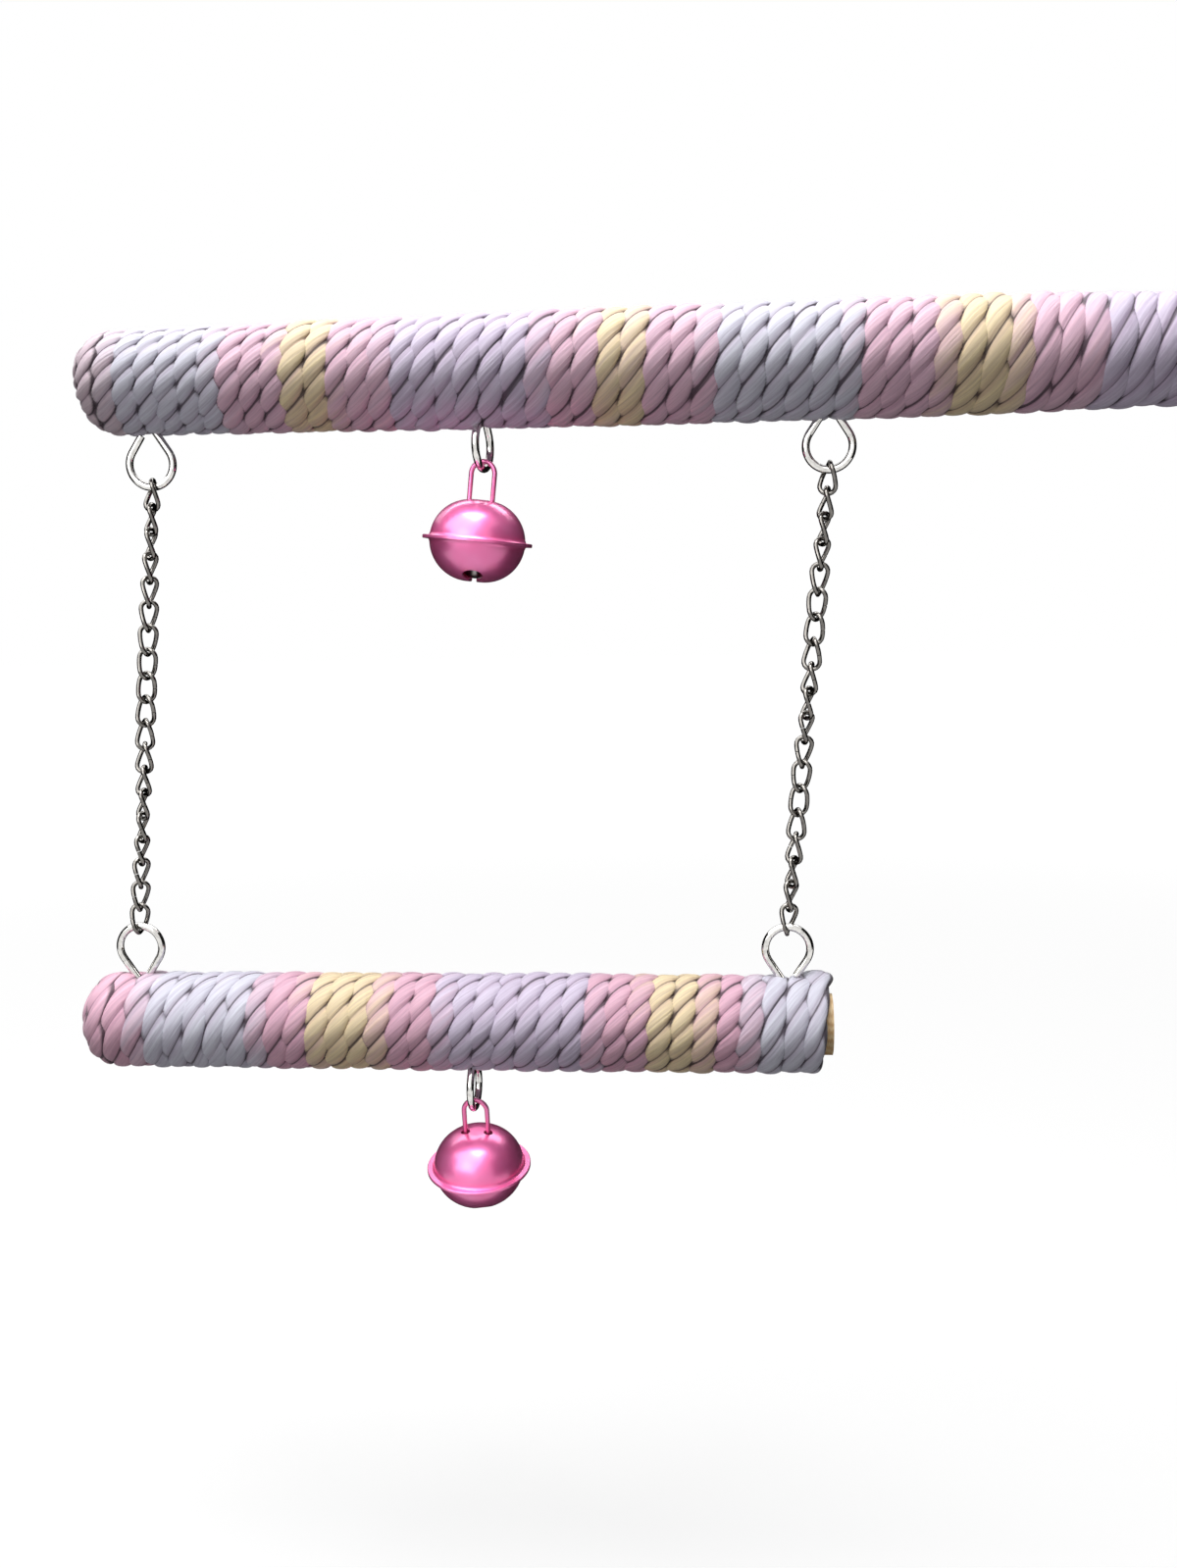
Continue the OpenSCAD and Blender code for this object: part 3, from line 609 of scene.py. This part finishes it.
def wound_ply(rope, number):
    """A ply bent along the winding. It keeps where it lay while it was straight, its place on the
    rod and its depth below the rope's outside, which its finish reads."""
    mesh = as_mesh(straight_ply(round(rope["turns"] * RINGS_A_TURN)), "ply")
    flat = np.zeros(len(mesh.vertices) * 3)
    mesh.vertices.foreach_get("co", flat)
    across, up, ring = flat.reshape(-1, 3).T
    turn = ring / RINGS_A_TURN
    run = reached(rope, turn)
    rod_x = rope["laid"][0][1] - run
    wind_r = between(rope["outside"], rod_x) - PRESSED_R
    x, r, lean = outline(rope, run, wind_r)
    along, away = pressed_section(rope, across, up, turn, number)

    # Each turn lies a little out of line with the next
    x = x + drift(turn, SIDE_DRIFT, rope["seed"] + 1)
    r = r + drift(turn, RISE_DRIFT, rope["seed"] + 2)
    if rope["lift"]:
        ease = np.exp(-turn / LIFT_TURNS)
        r = r + rope["lift"] * ease
        along = along + (along - SPREAD_FROM) * SPREAD * ease
    theta = math.radians(rope["start_angle"]) - FULL * turn
    for eye_x, side_angle in rope["eyes"]:
        off = (theta - math.radians(side_angle) + math.pi) % FULL - math.pi
        past = np.maximum(np.abs(x - eye_x) - ASIDE_REACH, 0)
        near = np.exp(-((off / ASIDE_ANGLE) ** 2)) * np.exp(-past / ASIDE_FADE)
        x = x + np.sign(x - eye_x) * near * ASIDE
    skin_x = x + along * np.cos(lean) - away * np.sin(lean)
    skin_r = r + along * np.sin(lean) + away * np.cos(lean)
    on_wood = skin_x > rope["end_x"] + END_DEPTH
    skin_r = np.maximum(skin_r, np.where(on_wood, rope["wood_r"] + OFF_WOOD, OFF_MIDDLE))
    skin = [skin_x, -skin_r * np.cos(theta), skin_r * np.sin(theta) + rope["z"]]
    mesh.vertices.foreach_set("co", np.stack(skin, axis=1).ravel())

    run_mm = turn * FULL * np.mean(wind_r)
    # The depth below the rope's outside, which the finish turns into painted crease shade
    depth = np.clip(PRESSED_R - away, 0, MAX_CREASE)
    kept = {
        "straight_ply": [across - PLY_OFF, up, run_mm + PLY_APART * number],
        "dye_and_depth": [rod_x, depth, np.zeros_like(depth)],
    }
    for name, parts in kept.items():
        layer = mesh.attributes.new(name, "FLOAT_VECTOR", "POINT")
        layer.data.foreach_set("vector", np.stack(parts, axis=1).astype(np.float32).ravel())
    mesh.update()
    return mesh


def wind_rope(rope):
    for number in range(PLIES):
        name = f"{rope['name']}_ply_{number + 1}"
        piece(name, wound_ply(rope, number), rope["paper"], rope["body"], rope["node"])


# Eye screws
SIDE_TURN = 33
EYE_BEND_R = 2.5
EYE_FREE_SHARE = 0.6
EYE_STEPS = 40
EYE_BEND_STEPS = 8
POINT_LEN = 3
POINT_SHARE = 0.2


def eye_line(drop):
    """The bent wire of an eye screw from its free end to its point. The eye's middle is the
    origin and the rod is above it."""
    lean = math.radians(SIDE_TURN)
    bend_run = EYE_BEND_R * math.tan(lean / 2)
    free = (EYE_R / math.tan(lean) - bend_run) * EYE_FREE_SHARE
    free_x = -EYE_R * math.cos(lean) + free * math.sin(lean)
    free_z = EYE_R * math.sin(lean) + free * math.cos(lean)
    shank_z = EYE_R / math.sin(lean) + bend_run
    line = [(free_x, 0, free_z)]
    line += bow((0, 0), EYE_R, 180 - SIDE_TURN, 360 + SIDE_TURN, EYE_STEPS)
    line += bow((EYE_BEND_R, shank_z), EYE_BEND_R, 180 + SIDE_TURN, 180, EYE_BEND_STEPS)
    line += [(0, 0, drop)]
    return [(spot, 1.0) for spot in line] + [((0, 0, drop + POINT_LEN), POINT_SHARE)]


def eye_screw(node, place, drop, body):
    wire(node + "_wire", [eye_line(drop)], EYE_WIRE, place, EYE_NICKEL, body, node)


# Curb chains
LINK_TWIST = -90.0
FIRST_LINK_TURN = 135
BUTT_GAP = 0.07
LINK_BEND_STEPS = 10
LEFT_LINK_TURN = -15
RIGHT_LINK_TURN = -25


def link_line(height, turn):
    """One curb link: an oval of wire, twisted along the chain, with its butt joint in a side."""
    half = LINK_SIDE / 2
    bend = [math.pi * i / LINK_BEND_STEPS for i in range(LINK_BEND_STEPS + 1)]
    flat = [(LINK_R, BUTT_GAP)] + [(LINK_R, half * i / 3) for i in (1, 2)]
    flat += [(LINK_R * math.cos(a), half + LINK_R * math.sin(a)) for a in bend]
    flat += [(-LINK_R, half * i / 3) for i in (2, 1, 0, -1, -2)]
    flat += [(-LINK_R * math.cos(a), -half - LINK_R * math.sin(a)) for a in bend]
    flat += [(LINK_R, -half * i / 3) for i in (2, 1)] + [(LINK_R, -BUTT_GAP)]
    line = []
    for x, z in flat:
        a = math.radians(LINK_TWIST * z / LINK_LEN + turn)
        line.append(((x * math.cos(a), x * math.sin(a), z + height), 1.0))
    return line


def chain(side, eye_x, turn):
    """The links of a chain, each turned by the same angle past the one above. The end links are
    bodies of their own."""
    place = moved(eye_x, 0, TOP_PIVOT_Z) @ turned(CHAIN_LEAN, "Y")
    first = HANG_SEAT - LINK_INSIDE
    links = [link_line(first - k * LINK_PITCH, FIRST_LINK_TURN + k * turn) for k in range(LINKS)]
    parts = (
        ("top_link", "top_link", links[:1]),
        ("links", "chain", links[1:-1]),
        ("bottom_link", "bottom_link", links[-1:]),
    )
    for part, body, lines in parts:
        node = f"{side}_chain_{part}"
        wire(node + "_wire", lines, LINK_WIRE, place, LINK_NICKEL, f"{side}_{body}", node)


# Jingle bells
BELL_BEND_R = 10.4
BELL_FLAT_R = 1.9
BELL_R = BELL_BEND_R + BELL_FLAT_R
BELL_WALL = 0.6
BELL_STEPS = 72
BELL_SHARP = 35
FLANGE_R = 14.1
FLANGE_T = 0.45
FLANGE_EDGE = 0.15
# From the shell's side to the flange: how far out, and how high
FLANGE_FILLET = [(0, 1.15), (0.12, 0.72), (0.4, FLANGE_T)]
# The bend outside and inside: from and to these angles above the seam, in so many steps
OUTER_BEND = (90, 5.9, 29)
INNER_BEND = (3, 88, 17)
CROWN_Z = -7.8
SEAM_Z = CROWN_Z - BELL_BEND_R
HOLE_D = 5.2
HOLE_TILT = 38
SLIT_W = 1.8
SLIT_TURN = 15
LOOP_R = 3.15
LOOP_WIRE = 1.3
LOOP_TOP_Z = HANG_SEAT + LOOP_WIRE / 2
LOOP_STEPS = 24
LOOP_HOLE_D = 2.5
LOOP_HOLE_LEN = 4
FOOT_BEND = 0.25
FOOT_GAP = 0.25
DRILL_SIDES = 40


def half_bell():
    """A pressed half shell with its flange, spun from its outline. Z is up from the seam."""
    middle = (BELL_FLAT_R, 0)
    inner_r = BELL_BEND_R - BELL_WALL
    outline = [(0, 0, BELL_BEND_R)] + bow(middle, BELL_BEND_R, *OUTER_BEND)
    outline += [(BELL_R + out, 0, high) for out, high in FLANGE_FILLET]
    outline += [(FLANGE_R - FLANGE_EDGE, 0, FLANGE_T), (FLANGE_R, 0, FLANGE_T - FLANGE_EDGE)]
    outline += [(FLANGE_R, 0, 0), (BELL_R - BELL_WALL, 0, 0)]
    outline += bow(middle, inner_r, *INNER_BEND) + [(0, 0, inner_r)]
    return as_mesh(spun(outline, (0, 0, 1), BELL_STEPS), "half_bell")


def cut_away(mesh, cutters):
    """The mesh with the cutters' shapes taken out of it."""
    made = bpy.data.objects.new("being_cut", mesh)
    bpy.context.scene.collection.objects.link(made)
    others = []
    for cutter in cutters:
        other = bpy.data.objects.new("cutter", as_mesh(cutter, "cutter"))
        bpy.context.scene.collection.objects.link(other)
        others.append(other)
        cut = made.modifiers.new("cut", "BOOLEAN")
        cut.operation = "DIFFERENCE"
        cut.object = other
        cut.solver = "EXACT"
    bpy.context.view_layer.update()
    result = bpy.data.meshes.new_from_object(made.evaluated_get(bpy.context.evaluated_depsgraph_get()))
    for spare in others + [made]:
        bpy.data.objects.remove(spare)
    return result


def drill(diameter, length, place):
    bit = bmesh.new()
    bmesh.ops.create_cone(
        bit, cap_ends=True, segments=DRILL_SIDES, radius1=diameter / 2, radius2=diameter / 2, depth=length,
        matrix=place,
    )
    return bit


def bell_slit():
    """The cutters of a slit across the lower half, with a round hole at each end."""
    turn = turned(SLIT_TURN, "Z")
    reach = BELL_BEND_R + 1
    cutters = []
    for side in (-1, 1):
        place = turn @ turned(side * HOLE_TILT, "X") @ moved(0, 0, -reach / 2 - BELL_FLAT_R)
        cutters.append(drill(HOLE_D, reach, place))
    slit_len = 2 * BELL_BEND_R * math.sin(math.radians(HOLE_TILT)) + BELL_FLAT_R
    size = Matrix.Diagonal((SLIT_W, slit_len, reach / 2, 1))
    slit = bmesh.new()
    bmesh.ops.create_cube(slit, size=1, matrix=turn @ moved(0, 0, -reach * 0.75) @ size)
    return cutters + [slit]


def loop_line():
    """A bell's wire loop, with both feet bent in under the crown. Its top bend is round the eye."""
    foot_z = CROWN_Z - BELL_WALL - LOOP_WIRE / 2 - FOOT_GAP
    foot = [
        (LOOP_R - LOOP_WIRE, 0, foot_z),
        (LOOP_R - FOOT_BEND, 0, foot_z),
        (LOOP_R, 0, foot_z + FOOT_BEND),
    ]
    top = bow((0, LOOP_TOP_Z - LOOP_R), LOOP_R, 0, 180, LOOP_STEPS)
    return [(spot, 1.0) for spot in foot + top + [(-x, y, z) for x, y, z in reversed(foot)]]


def bell(which, place):
    body = f"{which}_bell"
    legs = [drill(LOOP_HOLE_D, LOOP_HOLE_LEN, moved(side * LOOP_R, 0, CROWN_Z)) for side in (-1, 1)]
    top = half_bell()
    top.transform(moved(0, 0, SEAM_Z))
    top = cut_away(top, legs)
    top.transform(place)
    low = half_bell()
    low.transform(turned(180, "X"))
    low = cut_away(low, bell_slit())
    low.transform(place @ moved(0, 0, SEAM_Z))
    for part, mesh in (("top", top), ("bottom", low)):
        piece(f"{body}_{part}_half", mesh, ENAMEL, body, f"{body}_{part}_shell", BELL_SHARP)
    wire(f"{body}_wire_loop", [loop_line()], LOOP_WIRE, place, ENAMEL, body, f"{body}_loop")


# Cage clamp, with places along the stud from the clamp face
STUD_R = 3.0
STUD_CORE_R = 2.5
STUD_FROM_X = -26.6
STUD_TO_X = 32.0
STUD_STEPS = 40
STUD_SHARP = 30
SCREW_TIP_R = 1.2
SCREW_TIP_LEN = 2.2
CHAMFER_LEN = 0.9
CHAMFER_R = 0.45
THREAD_PITCH = 1.0
THREAD_STEPS = 28
THREAD_FOOT = 3
THREAD_END = 2.2
THREAD_CREST = 0.07
THREAD_ROOT = 0.46
THREAD_ROOT_R = 2.35
WASHER_BORE_R = 3.25
WASHER_R = 15.0
WASHER_T = 1.6
WASHER_EDGE = 0.25
WASHER_STEPS = 96
CLAMP_GAP = 5.0
CLAMP_SHARP = 40
NUT_X = CLAMP_GAP + WASHER_T
NUT_H = 8.0
NUT_FOOT_R = 6.5
NUT_TOP_R = 4.875
NUT_BORE_R = 3.05
NUT_STEPS = 56
NUT_EDGE = 0.3
NUT_CHAMFER = 0.4
WING_REACH = 15
WING_LEN = 13
WING_TIP_R = 3.25
WING_T = 2.4
WING_FOOT = 0.3 * NUT_H
WING_ROOT_R = NUT_TOP_R - WING_T / 2
WING_BEVEL = 0.7


def spun_on_stud(profile, steps, ring=False):
    """A solid from its outline of (place along the stud, radius)."""
    return spun([(x, 0, r) for x, r in profile], (1, 0, 0), steps, ring)


def thread(first_x, turns):
    """The ridge of a thread, closed at both ends."""
    steps = THREAD_STEPS * turns
    crest = [(-THREAD_CREST, STUD_R), (THREAD_CREST, STUD_R)]
    foot = (-THREAD_ROOT, THREAD_ROOT_R)
    section = [foot] + crest + [(THREAD_ROOT, THREAD_ROOT_R), foot]
    ridge = bmesh.new()
    bmesh.ops.create_grid(ridge, x_segments=4, y_segments=steps, size=1)
    for spot in ridge.verts:
        x, r = section[round((spot.co.x + 1) * 2)]
        done = (spot.co.y + 1) / 2 * turns
        spot.co = (first_x + x + THREAD_PITCH * done, -r * math.sin(FULL * done), r * math.cos(FULL * done))
    return sealed(ridge)


def hanger_bolt():
    core = spun_on_stud([
        (STUD_FROM_X, 0), (STUD_FROM_X, SCREW_TIP_R), (STUD_FROM_X + SCREW_TIP_LEN, STUD_CORE_R),
        (STUD_TO_X - CHAMFER_LEN, STUD_CORE_R), (STUD_TO_X, STUD_CORE_R - CHAMFER_R), (STUD_TO_X, 0),
    ], STUD_STEPS)
    first_x = STUD_FROM_X + THREAD_FOOT
    joined(core, thread(first_x, int((STUD_TO_X - THREAD_END - first_x) / THREAD_PITCH)))
    mesh = as_mesh(core, "hanger_bolt")
    piece("hanger_bolt_stud", mesh, ZINC, "upper_rod", "hanger_bolt", STUD_SHARP)


def washer(node, x, body):
    """A stamped washer with soft edges, rounder on its back."""
    soft = WASHER_EDGE
    back = x + WASHER_T
    shape = spun_on_stud([
        (x, WASHER_BORE_R + soft), (x + soft, WASHER_BORE_R),
        (back - soft, WASHER_BORE_R), (back, WASHER_BORE_R + soft),
        (back, WASHER_R - 2 * soft), (back - 0.4 * soft, WASHER_R - 0.6 * soft), (back - 2 * soft, WASHER_R),
        (x + 0.5 * soft, WASHER_R), (x, WASHER_R - 0.5 * soft),
    ], WASHER_STEPS, ring=True)
    piece(node + "_plate", as_mesh(shape, node), ZINC, body, node, CLAMP_SHARP)


def nut_wing(side):
    """One wing of the nut: a flat blade with a round tip, its edges bevelled."""
    centre = (WING_REACH - WING_TIP_R, WING_LEN - WING_TIP_R)
    tip = [(r, high) for r, _, high in bow(centre, WING_TIP_R, -40, 140, 18)]
    edge = [(WING_ROOT_R, WING_FOOT)] + tip + [(WING_ROOT_R, NUT_H)]
    wing = bmesh.new()
    face = wing.faces.new([wing.verts.new((NUT_X + high, -WING_T / 2, r)) for r, high in edge])
    extruded = bmesh.ops.extrude_face_region(wing, geom=[face])
    raised = [v for v in extruded["geom"] if isinstance(v, bmesh.types.BMVert)]
    bmesh.ops.translate(wing, vec=(0, WING_T, 0), verts=raised)
    bmesh.ops.recalc_face_normals(wing, faces=wing.faces)
    flat = [e for e in wing.edges if abs(e.verts[0].co.y - e.verts[1].co.y) < MEETING]
    bmesh.ops.bevel(
        wing, geom=flat, offset=WING_BEVEL, offset_type="OFFSET", segments=4, profile=0.5, affect="EDGES",
        material=-1, clamp_overlap=True,
    )
    bmesh.ops.transform(wing, matrix=turned(side, "X"), verts=wing.verts)
    return wing


def wing_nut():
    top = NUT_X + NUT_H
    nut = spun_on_stud([
        (NUT_X, NUT_BORE_R + NUT_CHAMFER), (NUT_X, NUT_FOOT_R - NUT_EDGE), (NUT_X + NUT_EDGE, NUT_FOOT_R),
        (top - NUT_CHAMFER, NUT_TOP_R + 0.1), (top, NUT_TOP_R - NUT_EDGE), (top, NUT_BORE_R + NUT_CHAMFER),
        (top - NUT_CHAMFER, NUT_BORE_R), (NUT_X + NUT_CHAMFER, NUT_BORE_R),
    ], NUT_STEPS, ring=True)
    for side in (0, 180):
        joined(nut, nut_wing(side))
    mesh = as_mesh(nut, "wing_nut")
    piece("wing_nut_cast", mesh, ZINC, "wing_nut", "wing_nut", CLAMP_SHARP)


# Put together
UPPER_BELL_EYE = moved(UPPER_BELL_X, 0, -UPPER_BELL_EYE_DROP)
LOWER_BELL_EYE = moved(LOWER_BELL_X, 0, PERCH_Z - LOWER_BELL_EYE_DROP)
UPPER_BELL_TILT = 6.5
LOWER_BELL_NOD = 11
# A bell hangs from the bottom of its eye and across the eye's wire
TO_PIVOT = moved(0, 0, -EYE_R)
UPPER_BELL_PLACE = UPPER_BELL_EYE @ TO_PIVOT @ turned(UPPER_BELL_TILT, "Y")
UPPER_BELL_PLACE = UPPER_BELL_PLACE @ turned(UPPER_BELL_EYE_TURN - 90, "Z")
LOWER_BELL_PLACE = LOWER_BELL_EYE @ TO_PIVOT @ turned(LOWER_BELL_NOD, "X")
LOWER_BELL_PLACE = LOWER_BELL_PLACE @ turned(LOWER_BELL_EYE_TURN - 90, "Z")
# The nodes that are shown as their solids, with a finish
SOLIDS = {
    "upper_dowel": WOOD,
    "perch_dowel": WOOD,
    "upper_bell_pellet": PELLET_STEEL,
    "lower_bell_pellet": PELLET_STEEL,
}

set_up_camera()
wind_rope(UPPER_ROPE)
wind_rope(PERCH_ROPE)
for which, x in (("left", LEFT_EYE_X), ("right", RIGHT_EYE_X)):
    eye_screw(f"{which}_upper_eye_screw", moved(x, 0, -UPPER_EYE_DROP), UPPER_EYE_DROP, "upper_rod")
bell_eye_place = UPPER_BELL_EYE @ turned(UPPER_BELL_EYE_TURN, "Z")
eye_screw("upper_bell_eye_screw", bell_eye_place, UPPER_BELL_EYE_DROP, "upper_rod")
for which, x in (("left", PERCH_LEFT_EYE_X), ("right", PERCH_RIGHT_EYE_X)):
    eye_place = moved(x, 0, PERCH_Z + PERCH_EYE_RISE) @ turned(180, "Y")
    eye_screw(f"{which}_perch_eye_screw", eye_place, PERCH_EYE_RISE, "perch")
bell_eye_place = LOWER_BELL_EYE @ turned(LOWER_BELL_EYE_TURN, "Z")
eye_screw("lower_bell_eye_screw", bell_eye_place, LOWER_BELL_EYE_DROP, "perch")
chain("left", LEFT_EYE_X, LEFT_LINK_TURN)
chain("right", RIGHT_EYE_X, RIGHT_LINK_TURN)
bell("upper", UPPER_BELL_PLACE)
bell("lower", LOWER_BELL_PLACE)
hanger_bolt()
washer("inner_washer", -WASHER_T, "upper_rod")
washer("outer_washer", CLAMP_GAP, "outer_washer")
wing_nut()
for node, material in SOLIDS.items():
    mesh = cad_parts[node].data
    mesh.materials.clear()
    mesh.materials.append(material)


# Stage and light, in metres
STAGE_X = -0.17
FLOOR_Z = -0.34
FLOOR_HALF = 6
# The floor as the camera and the pieces' gloss see it, and as other light meets it
FLOOR_SEEN = grey(0.9)
FLOOR_LIT = grey(0.14)
FLOOR_GLOW = 1.02
# The shadow lies near the object. Further out the floor is as white as the backdrop
SHADOW_MIDDLE = (STAGE_X, 0.05, FLOOR_Z)
SHADOW_FADE = (0.35, 1.3)
LEAST_GLOW = 0.72
BACKDROP_LIT = 0.10
WHITE = grey(1)
BLACK_CARD = grey(0.01)
LIGHT_AIM = (STAGE_X, 0, -0.08)
CARD_AIM = (STAGE_X, 0, -0.1)


def facing(place, towards):
    """Stands at a place with its Z turned to a direction."""
    return moved(*place) @ towards.to_track_quat("Z", "Y").to_matrix().to_4x4()


def prop(name, shape, material):
    mesh = as_mesh(shape, name)
    mesh.materials.append(material)
    made = bpy.data.objects.new(name, mesh)
    bpy.context.scene.collection.objects.link(made)
    return made


def floor():
    ground = bmesh.new()
    bmesh.ops.create_grid(
        ground, x_segments=1, y_segments=1, size=FLOOR_HALF, matrix=moved(0, 0, FLOOR_Z)
    )
    pale = Finish("pale_floor", Roughness=0.9)
    shown = (pale.ray("Camera") + pale.ray("Glossy")).clipped()
    pale.use(Base_Color=pale.mix(shown, FLOOR_LIT, FLOOR_SEEN))
    ends = {0: pale.on_object(), 1: SHADOW_MIDDLE}
    distance = pale.node("ShaderNodeVectorMath", ends, out="Value", operation="DISTANCE")
    far = pale.band(distance, *SHADOW_FADE)
    white = pale.node("ShaderNodeEmission", {"Color": WHITE, "Strength": FLOOR_GLOW}, out="Emission")
    plain = Flow(pale, pale.shader.outputs[0])
    share = shown * (far * (1 - LEAST_GLOW) + LEAST_GLOW)
    mixed = pale.node("ShaderNodeMixShader", {0: share, 1: plain, 2: white}, out="Shader")
    pale.feed(pale.tree.nodes["Material Output"], {"Surface": mixed})
    made = prop("floor", ground, pale.material)


def gloss_card(name, place, aim, size, glow=0.0):
    """A studio card, black unless it glows, that only the gloss of the pieces sees."""
    board = Finish(
        name + "_board", Roughness=1.0, Specular_IOR_Level=0.0, Base_Color=BLACK_CARD,
        Emission_Color=WHITE, Emission_Strength=glow,
    )
    width, height = size
    stand = facing(place, Vector(aim) - Vector(place))
    card = bmesh.new()
    bmesh.ops.create_grid(
        card, x_segments=1, y_segments=1, size=0.5, matrix=stand @ Matrix.Diagonal((width, height, 1, 1))
    )
    made = prop(name, card, board.material)
    made.visible_camera = False
    made.visible_diffuse = False
    made.visible_shadow = False
    made.visible_transmission = False


def area_light(name, place, aim, size, power):
    data = bpy.data.lights.new(name, "AREA")
    data.shape = "RECTANGLE"
    data.size, data.size_y = size
    data.energy = power
    made = bpy.data.objects.new(name, data)
    made.matrix_world = facing(place, Vector(place) - Vector(aim))
    bpy.context.scene.collection.objects.link(made)


def backdrop():
    """White wherever the camera, gloss or glass looks, and dim as a light."""
    world = bpy.data.worlds.new("studio")
    bpy.context.scene.world = world
    room = Graph(world)
    seen = (room.ray("Camera") + room.ray("Glossy") + room.ray("Transmission")).clipped()
    level = room.node("ShaderNodeMapRange", {"Value": seen, "To Min": BACKDROP_LIT, "To Max": 1.0})
    room.feed(room.tree.nodes["Background"], {"Strength": level, "Color": WHITE})


floor()
backdrop()
area_light("top_softbox", place=(-0.40, -0.34, 1.60), aim=LIGHT_AIM, size=(1.5, 0.9), power=48.5)
area_light("front_fill", place=(-0.46, -0.60, 0.12), aim=LIGHT_AIM, size=(0.3, 0.3), power=0.6)
gloss_card("left_flag", place=(-0.97, 0.43, -0.25), aim=(STAGE_X, 0.43, -0.25), size=(1.84, 1.2))
gloss_card("right_flag", place=(0.63, 0.25, -0.1), aim=(STAGE_X, 0.25, -0.1), size=(2.2, 1.5))
gloss_card("back_flag", place=(STAGE_X, 1.2, -0.1), aim=CARD_AIM, size=(1.7, 2.2))
gloss_card("sky_card", place=(-1.05, -0.85, 0.90), aim=CARD_AIM, size=(3.2, 2.0), glow=3.6)
gloss_card("back_sky_card", place=(-0.47, 0.60, 1.40), aim=CARD_AIM, size=(3.0, 1.5), glow=4.6)
gloss_card("low_flag", place=(STAGE_X, 0.68, -0.33), aim=(STAGE_X, 0.68, 0), size=(1.6, 1.4))
bpy.context.scene.view_settings.view_transform = "Standard"
